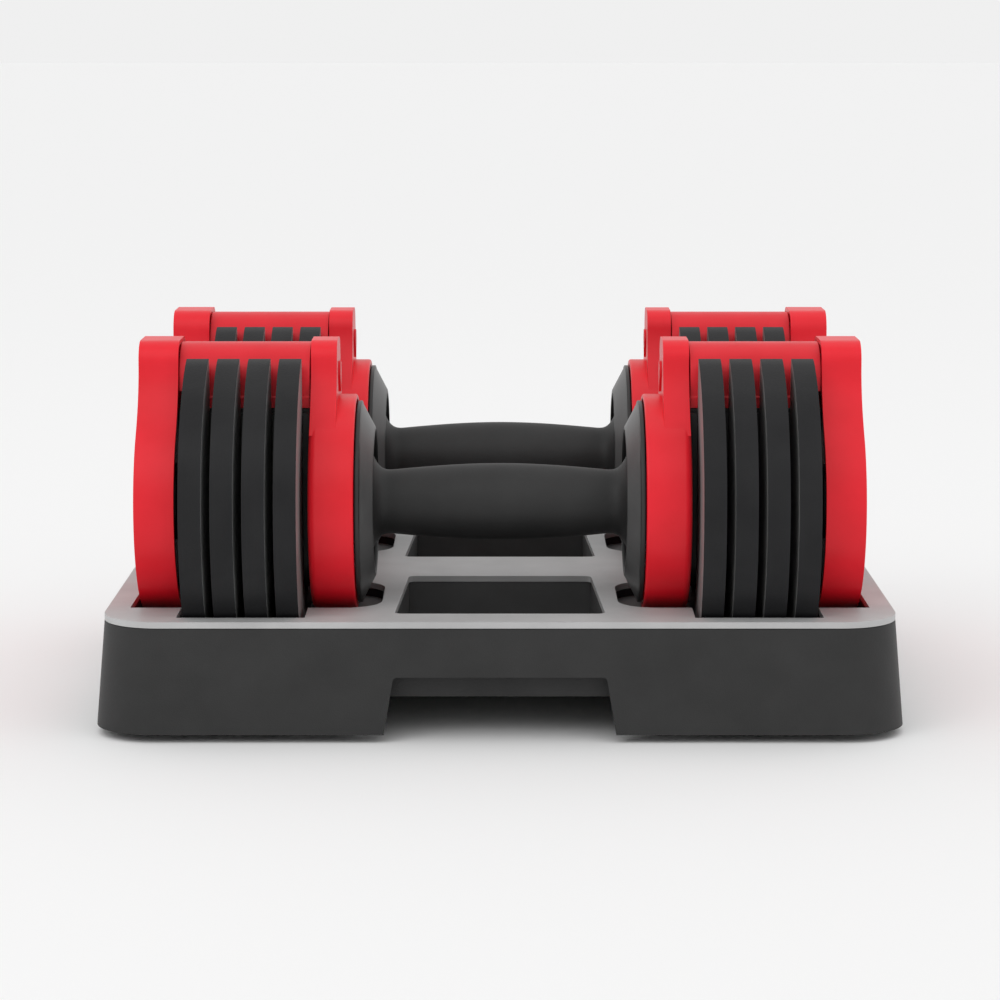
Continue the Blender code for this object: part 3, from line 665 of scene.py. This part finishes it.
def tray_outline(half_x, half_y, inset=0.0):
    half_x, half_y = half_x - inset, half_y - inset
    front, rear = FRONT_CORNER_R - inset, REAR_CORNER_R - inset
    points = arc((half_x - front, front - half_y), front, -90.0, 0.0, 16)
    points += arc((half_x - rear, half_y - rear), rear, 0.0, 90.0, 28)
    points += arc((rear - half_x, half_y - rear), rear, 90.0, 180.0, 28)
    points += arc((front - half_x, front - half_y), front, 180.0, 270.0, 16)
    return points


def bay_outline(row_y, margin=0.0):
    """Right-hand bay seen from above: saddle, wide plate pocket, narrow outer end."""
    narrow, wide = SADDLE_HALF_Y + margin, POCKET_HALF_Y + margin
    start, end = SADDLE_START - margin, BAY_END + margin
    near, far = POCKET_X[0] - margin, POCKET_X[1] + margin
    radius = SADDLE_CORNER + margin
    half = [(near, -narrow), (near, -wide), (far, -wide), (far, -narrow), (end, -narrow)]
    points = arc((start + radius, radius - narrow), radius, 180.0, 270.0, 10)
    points += half + [(x, -y) for x, y in reversed(half)]
    points += arc((start + radius, narrow - radius), radius, 90.0, 180.0, 10)
    return [(x, y + row_y) for x, y in points]


def well_outline(row_y, margin=0.0):
    front, rear = WELL_FRONT_HALF_X + margin, WELL_REAR_HALF_X + margin
    half_y = WELL_HALF_Y + margin
    return [(-front, row_y - half_y), (front, row_y - half_y),
            (rear, row_y + half_y), (-rear, row_y + half_y)]


def bay_outlines(margin=0.0):
    outlines = []
    for row_y in (-ROW_Y, ROW_Y):
        bay = bay_outline(row_y, margin)
        outlines += [bay, [(-x, y) for x, y in reversed(bay)]]
    return outlines


def build_deck():
    low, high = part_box("tray_deck")
    wells = [rounded(well_outline(row_y), 0.004, 4) for row_y in (-ROW_Y, ROW_Y)]
    outline = tray_outline(high.x, high.y)
    deck = extruded([outline] + bay_outlines() + wells, low.z, high.z, FACING_Z)
    deck = softened(deck, 0.0010, 3)
    piece("tray_deck_fine", deck, (DECK,), "tray", "tray_deck")


def flared(outline, bottom, top, half_x, half_y, foot_x, foot_y):
    """Upright solid whose lower rim is widened from the half sizes to the foot sizes."""
    mesh = extruded([outline], bottom, top, FACING_Z)
    for vertex in mesh.vertices:
        if vertex.co.z < (bottom + top) / 2.0:
            vertex.co.x *= foot_x / half_x
            vertex.co.y *= foot_y / half_y
    return mesh


def bay_solids(margin, top, floors):
    """Solids of the bays: wide pockets, saddles, outer ends, end recesses and wells."""
    pocket_floor, saddle_floor, outer_floor, well_floor = floors
    solids = []
    for row_y in (-ROW_Y, ROW_Y):
        across = (row_y - POCKET_HALF_Y - margin, row_y + POCKET_HALF_Y + margin)
        narrow = (row_y - SADDLE_HALF_Y - margin, row_y + SADDLE_HALF_Y + margin)
        pocket = block((POCKET_X[0] - margin, POCKET_X[1] + margin), across, (pocket_floor, top))
        outer = block((POCKET_X[1] - OVERLAP, BAY_END + margin), narrow, (outer_floor, top))
        recess = block((END_RECESS_X - margin, BAY_END + margin), narrow,
                       (END_RECESS_Z - margin, top))
        radius = SADDLE_CORNER + margin
        start = SADDLE_START - margin
        saddle = arc((start + radius, radius + narrow[0]), radius, 180.0, 270.0, 10)
        saddle += [(POCKET_X[0] + OVERLAP, narrow[0]), (POCKET_X[0] + OVERLAP, narrow[1])]
        saddle += arc((start + radius, narrow[1] - radius), radius, 90.0, 180.0, 10)
        saddle = extruded([saddle], saddle_floor, top, FACING_Z)
        for solid in (pocket, outer, recess, saddle):
            solids += [solid, mirrored(solid)]
        solids.append(extruded([well_outline(row_y, margin)], well_floor, top, FACING_Z))
    return solids


def build_skirt():
    """Hollow skirt with housings, foot bosses and a panel left solid, then the bays cut in."""
    low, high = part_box("tray_skirt")
    _, deck_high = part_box("tray_deck")
    half_x, half_y = deck_high.x, deck_high.y
    top = high.z
    skirt = flared(tray_outline(half_x, half_y), low.z, top, half_x, half_y, high.x, high.y)
    hollow = flared(tray_outline(half_x, half_y, SKIRT_WALL), low.z - GAP, top - SKIRT_WALL,
                    half_x, half_y, high.x, high.y)
    floors = (AXIS_Z - CRADLE_R - HOUSING_WALL, SADDLE_Z - HOUSING_WALL, OUTER_Z - HOUSING_WALL,
              WELL_Z - HOUSING_WALL)
    for solid in bay_solids(HOUSING_WALL, top + SKIRT_WALL, floors):
        hollow = cut(hollow, solid)
    foot_low, foot_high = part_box("foot_rear_right")
    foot = (foot_low + foot_high) / 2.0
    for x in (-foot.x, foot.x):
        for y in (-foot.y, foot.y):
            ring = circle((x, y), BOSS_R, SMALL_SEGMENTS)
            hollow = cut(hollow, extruded([ring], foot_high.z + GAP, DIVIDER_Z, FACING_Z))
    panel = block((-PANEL_HALF_X, PANEL_HALF_X), PANEL_Y, (WELL_Z, top + SKIRT_WALL))
    skirt = cut(skirt, cut(hollow, panel))
    for solid in bay_solids(0.0, top + SKIRT_WALL, (DIVIDER_Z, SADDLE_Z, OUTER_Z, WELL_Z)):
        skirt = cut(skirt, solid)
    for index in range(1, PLATES + 1):
        plate_low, plate_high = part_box(f"front_right_plate_{index}")
        for row_y in (-ROW_Y, ROW_Y):
            outline = circle((row_y, AXIS_Z), CRADLE_R, SEGMENTS)
            groove = extruded([outline], plate_low.x - CRADLE_GAP, plate_high.x + CRADLE_GAP,
                              FACING_X)
            skirt = cut(skirt, groove)
            skirt = cut(skirt, mirrored(groove))
    notch = [(-0.0562, low.z - 0.0105), (0.0562, low.z - 0.0105), (0.050, 0.031), (-0.050, 0.031)]
    skirt = cut(skirt, extruded([rounded(notch, 0.002)], -PANEL_Y[0], half_y + 0.01, FACING_Y))

    def shade(center, normal):
        """Index of the skirt plastic, the pad plastic, or the painted light on the cradle floors
        and in the wells.
        """
        across = abs(abs(center.y) - ROW_Y)
        in_well = abs(center.x) < WELL_FRONT_HALF_X + GAP and across < WELL_HALF_Y + GAP
        # Faces inside the wells get the lighter well colour as painted light.
        if in_well and center.z > WELL_Z - GAP and center.z < top - GAP:
            return 3
        in_bay = SADDLE_START < abs(center.x) < BAY_END and across < POCKET_HALF_Y
        if not in_bay or normal.z < 0.15 or center.z < WELL_Z + HOUSING_WALL:
            return 0
        if center.z > DIVIDER_Z + GAP:
            return 1
        # Divider tops keep the skirt colour; the groove floors below get the lighter colour as
        # painted light.
        return 0 if center.z > DIVIDER_Z - GAP else 2

    paint(skirt, shade)
    piece("tray_skirt_fine", skirt, (SKIRT, PAD, CRADLE_PAINTED_LIGHT, WELL_PAINTED_LIGHT), "tray",
          "tray_skirt")


def build_feet():
    """Round rubber feet with a soft rim and a shallow ring in the sole."""
    low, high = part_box("foot_rear_right")
    radius, height = (high.x - low.x) / 2.0, high.z
    profile = [(height, 0.0085), (0.0030, radius - 0.0014), (0.0010, radius),
               (0.0, radius - 0.0006), (0.0, 0.0075), (0.0006, 0.0070), (0.0006, 0.0050),
               (0.0, 0.0045), (0.0, 0.0005), (height, 0.0005)]
    foot = turned(profile, MEDIUM_SEGMENTS)
    foot.transform(Matrix.Rotation(math.radians(-90.0), 4, "Y"))
    for row in ROWS:
        for side in ("left", "right"):
            node = f"foot_{row}_{side}"
            low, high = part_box(node)
            middle = (low + high) / 2.0
            piece(f"{node}_fine", foot.copy(), (FOOT_RUBBER,), "tray", node,
                  (middle.x, middle.y, 0.0))


# Small hardware

def teardrop(length, width):
    """Pointed drop outline, its point down."""
    radius = width / 2.0
    return arc((0.0, 0.0), radius, -30.0, 210.0, 28) + [(0.0, radius - length)]


BAND_X = (0.0715, 0.0785)
BAND_R = (0.0336, 0.0345)
KEYHOLE_CENTER = (0.0, 0.0405)
KEYHOLE_R = (0.0056, 0.0068)
WASHER_X = (0.1677, 0.1688)
WASHER_R = (0.00325, 0.005)
CLIP_X = (0.0785, 0.0835)


def square_ring(x, radii):
    """Closed (x, radius) loop of a ring with a rectangular section."""
    return [(x[1], radii[1]), (x[0], radii[1]), (x[0], radii[0]), (x[1], radii[0])]


def build_hardware():
    """Red drop on each guard's neck, bright band behind each ring, washers and latch clips."""
    _, high = span("front_right_inner_guard")
    drop = softened(extruded([teardrop(0.015, 0.010)], 0.0, 0.0016, FACING_X), 0.0007, 3)
    drop = moved(drop, (high.x - LUG_THICK - 0.0011, 0.0, high.z - 0.016))
    at_both_ends("indicator_drop", drop, (RED_COVER,), frame_body)

    band = turned(rounded(square_ring(BAND_X, BAND_R), 0.0003, 2))
    inner, outer = (circle(KEYHOLE_CENTER, radius, SMALL_SEGMENTS) for radius in KEYHOLE_R)
    loop = extruded([outer, inner], *BAND_X, FACING_X)
    at_both_ends("keyhole_band", merged([band, loop]), (CHROME,), frame_body)

    washer = turned(rounded(square_ring(WASHER_X, WASHER_R), 0.0002, 2), SMALL_SEGMENTS)
    at_both_ends("washer", washer, (CHROME,), frame_body)

    clip = [(-0.005, -0.0455), (0.005, -0.0455), (0.0015, -0.0425), (0.005, -0.0395),
            (-0.005, -0.0395), (-0.0015, -0.0425)]
    clip = softened(extruded([clip], *CLIP_X, FACING_X), 0.0004, 2)
    at_both_ends("latch_clip", clip, (BLACK,), frame_body)


# Plate carrier, selector and the rest of the frame

FIRST_RIB_X = 0.0927
PLATE_PITCH = 0.01475
RIB_THICK = 0.0034
LOBE_R = 0.0155
LOBE_HALF_X = 0.0035
LOBE_END = 60.0
LOBE_START = 29.0
DIAL_STEP = 25.0


def build_combs():
    """Rail with a back wall and five ribs, bored for the drum, and a window across the middle."""
    low, high = span("front_right_plate_comb")
    half_y, inner_y = 0.019, 0.0163
    rail_start, rail_bottom, wall_bottom = 0.091, 0.020, -0.030
    reach, window_half = 0.05, 0.0115
    last_rib = FIRST_RIB_X + PLATE_PITCH * PLATES
    window = block((FIRST_RIB_X + RIB_THICK, last_rib - RIB_THICK), (-reach, reach),
                   (-window_half, window_half))
    section = [(half_y, high.z), (half_y, rail_bottom), (-inner_y, rail_bottom),
               (-inner_y, wall_bottom), (-half_y, wall_bottom), (-half_y, high.z)]
    rail = cut(extruded([section], rail_start, high.x, FACING_X), window)
    pieces = [softened(rail, 0.0005, 2)]
    rib_half, rib_top, corner = high.y, 0.046, 0.014
    outline = [(rib_half, rib_top), (-rib_half, rib_top)]
    outline += arc((corner - rib_half, low.z + corner), corner, 180.0, 270.0, 14)
    outline += arc((rib_half - corner, low.z + corner), corner, 270.0, 360.0, 14)
    bore = circle((0.0, 0.0), 0.0166, MEDIUM_SEGMENTS)
    for index in range(PLATES + 1):
        middle = FIRST_RIB_X + PLATE_PITCH * index
        rib = extruded([outline, bore], middle - RIB_THICK / 2.0, middle + RIB_THICK / 2.0,
                       FACING_X)
        if 0 < index < PLATES:
            rib = cut(rib, window)
        pieces.append(softened(rib, 0.0005, 2))
    hub = [(FIRST_RIB_X, 0.0235), (low.x, 0.0235), (low.x, 0.0203), (FIRST_RIB_X, 0.0203)]
    pieces.append(turned(rounded(hub, 0.0006, 2)))
    at_both_ends("comb_fine", merged(pieces), (BLACK,), frame_body, "plate_comb")


def build_drums():
    """Flanged tube with one stepped lobe for each plate."""
    low, high = span("front_right_selector_drum")
    flange_x, flange, tube, bore = 0.1563, 0.0185, 0.0115, 0.0075
    loop = [(high.x, flange), (flange_x, flange), (flange_x, tube), (low.x, tube), (low.x, bore),
            (high.x, bore)]
    pieces = [turned(rounded(loop, 0.0006, 2))]
    for index in range(PLATES):
        start = LOBE_START - DIAL_STEP * (PLATES - 1 - index)
        middle = FIRST_RIB_X + PLATE_PITCH * (index + 0.5)
        outline = arc((0.0, 0.0), LOBE_R, start, LOBE_END, 24)
        outline += arc((0.0, 0.0), tube - 0.0006, LOBE_END, start, 24)
        lobe = extruded([outline], middle - LOBE_HALF_X, middle + LOBE_HALF_X, FACING_X)
        pieces.append(softened(lobe, 0.0005, 2))
    at_both_ends("drum_fine", merged(pieces), (CORE,), selector_body,
                 "selector_drum", turns=True)


def build_end_discs():
    """Iron disc with a bore, two drive holes and a notch on each side."""
    low, high = span("front_right_end_disc")
    radius, notch_half, notch_depth = 0.050, 0.004, 0.004
    notch = math.degrees(math.asin(notch_half / radius))
    inner = radius - notch_depth
    outline = arc((0.0, 0.0), radius, notch, 180.0 - notch, 60)
    outline += [(-inner, notch_half), (-inner, -notch_half)]
    outline += arc((0.0, 0.0), radius, 180.0 + notch, 360.0 - notch, 60)
    outline += [(inner, -notch_half), (inner, notch_half)]
    holes = [circle((0.0, 0.0), 0.0036, SMALL_SEGMENTS)]
    holes += [circle((0.0, z), 0.003, SMALL_SEGMENTS) for z in (-0.030, 0.030)]
    disc = softened(extruded([outline] + holes, low.x, high.x, FACING_X), 0.0006, 2)
    at_both_ends("disc_fine", disc, (IRON,), frame_body,
                 "end_disc")


def build_latches():
    """Spring latch with a hooked arm, standing in the slot under each guard."""
    low, high = span("front_right_lock_latch")
    back, arm_low, arm_high = LATCH_BACK, -0.034, -0.030
    outline = [(low.x, low.z), (back, low.z), (back, arm_low), (high.x, arm_low),
               (high.x, arm_high), (back, arm_high), (back, high.z), (low.x, high.z)]
    latch = softened(extruded([outline], low.y, high.y, FACING_Y), 0.0006, 3)
    at_both_ends("latch_fine", latch, (BLACK,), latch_body, "lock_latch")


def build_shafts():
    """Steel rod that steps down to a threaded tip at each end."""
    _, high = span("front_shaft")
    radius, tip, pitch = high.z, 0.003, 0.001
    shoulder, tip_start = 0.1565, 0.159
    half = [(high.x, tip - 0.0005), (high.x - 0.0005, tip)]
    turns = int((high.x - 0.0006 - tip_start) / pitch)
    for index in range(turns):
        x = high.x - 0.0006 - pitch * index
        half += [(x - 0.2 * pitch, tip), (x - 0.5 * pitch, tip - 0.0003), (x - 0.8 * pitch, tip)]
    half += [(tip_start, tip), (shoulder, radius - 0.0003), (shoulder - 0.0006, radius)]
    inside = 0.0002
    outside = half + [(-x, r) for x, r in reversed(half)]
    shaft = turned(outside + [(-high.x, inside), (high.x, inside)], MEDIUM_SEGMENTS)
    for row in ROWS:
        piece(f"{row}_shaft_fine", shaft.copy(), (STEEL,), f"{row}_dumbbell",
              f"{row}_shaft", AXES[row])


# Studio

FLOOR_REACH = 30.0
FLOOR_ALBEDO = 0.90
SKY_STRENGTH = 0.87
CAMERA_DISTANCE = 1.6
CAMERA_ELEVATION = math.radians(8.6)
CAMERA_LENS = 112.0
SENSOR_WIDTH = 36.0
CLIP_END = 50.0


def plain(name, color, roughness):
    material = bpy.data.materials.new(name)
    material.use_nodes = True
    shader = shader_of(material)
    shader.inputs["Base Color"].default_value = (*color, 1.0)
    shader.inputs["Roughness"].default_value = roughness
    return material


def area_light(name, power, size, location, target):
    data = bpy.data.lights.new(name, "AREA")
    data.shape = "DISK"
    data.energy = power
    data.size = size
    obj = bpy.data.objects.new(name, data)
    bpy.context.scene.collection.objects.link(obj)
    obj.location = location
    obj.rotation_euler = (Vector(target) - Vector(location)).to_track_quat("-Z", "Y").to_euler()


def sun(name, strength, spread, direction):
    """Broad distant light shining along the direction."""
    data = bpy.data.lights.new(name, "SUN")
    data.energy = strength
    data.angle = math.radians(spread)
    obj = bpy.data.objects.new(name, data)
    bpy.context.scene.collection.objects.link(obj)
    obj.rotation_euler = Vector(direction).to_track_quat("-Z", "Y").to_euler()


def build_studio():
    """Wide pale floor, even sky, broad suns and two soft boxes for the highlights."""
    mesh = bpy.data.meshes.new("floor")
    signs = ((-1, -1), (1, -1), (1, 1), (-1, 1))
    corners = [(x * FLOOR_REACH, y * FLOOR_REACH, 0.0) for x, y in signs]
    mesh.from_pydata(corners, [], [(0, 1, 2, 3)])
    mesh.materials.append(plain("floor_paper", grey(FLOOR_ALBEDO), 0.9))
    floor = bpy.data.objects.new("floor", mesh)
    bpy.context.scene.collection.objects.link(floor)

    world = bpy.data.worlds.new("studio")
    world.use_nodes = True
    background = world.node_tree.nodes["Background"]
    background.inputs["Color"].default_value = (1.0, 1.0, 1.0, 1.0)
    background.inputs["Strength"].default_value = SKY_STRENGTH
    bpy.context.scene.world = world
    bpy.context.scene.view_settings.view_transform = "Standard"

    sun("key", 0.38, 50.0, (0.5, 0.9, -1.1))
    sun("fill", 0.12, 70.0, (-0.8, 0.5, -0.9))
    target = (0.0, 0.0, AXIS_Z)
    area_light("left_box", 2.4, 1.0, (-1.3, -1.4, 1.3), target)
    area_light("top_box", 1.2, 1.0, (0.2, 0.2, 1.9), target)


def build_camera():
    """Level with the object's front, looking slightly down, from well back."""
    low, high = cad_box
    middle = (Vector(low) + Vector(high)) / 2.0
    data = bpy.data.cameras.new("camera")
    data.sensor_width = SENSOR_WIDTH
    data.lens = CAMERA_LENS
    data.clip_end = CLIP_END
    camera = bpy.data.objects.new("camera", data)
    bpy.context.scene.collection.objects.link(camera)
    towards = Vector((0.0, -math.cos(CAMERA_ELEVATION), math.sin(CAMERA_ELEVATION)))
    camera.location = middle + towards * CAMERA_DISTANCE
    camera.rotation_euler = (middle - camera.location).to_track_quat("-Z", "Y").to_euler()
    bpy.context.scene.camera = camera


build_plates()
build_guards()
build_caps()
build_covers()
build_handles()
build_deck()
build_skirt()
build_feet()
build_hardware()
build_combs()
build_drums()
build_end_discs()
build_latches()
build_shafts()
build_studio()
build_camera()
